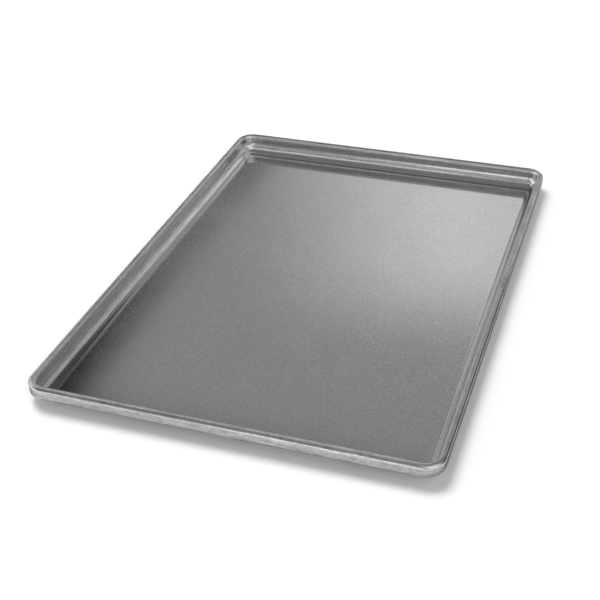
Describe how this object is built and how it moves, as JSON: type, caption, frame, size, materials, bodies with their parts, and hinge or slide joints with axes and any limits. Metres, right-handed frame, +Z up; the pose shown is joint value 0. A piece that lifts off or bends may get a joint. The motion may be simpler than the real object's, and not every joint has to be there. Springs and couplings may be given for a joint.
{
  "type": "jelly roll pan",
  "caption": "Shallow rectangular baking tray with rounded inner bends, slightly leaning walls and a tall rolled rim with a stiffening wire inside.",
  "frame": {"origin": "centre of the pan's footprint, on the surface that it stands on", "axes": "+X to the right across the pan's width, +Y along its length, away from the camera's near end, +Z up out of the open top"},
  "size_m": [0.454, 0.66, 0.0245],
  "materials": {
    "pan_steel": "semi-gloss aluminised sheet steel with a fine grain",
    "wire_steel": "drawn steel wire"
  },
  "bodies": {
    "root": {"pan_shell": "pan_steel", "rim_wire": "wire_steel"}
  },
  "joints": []
}
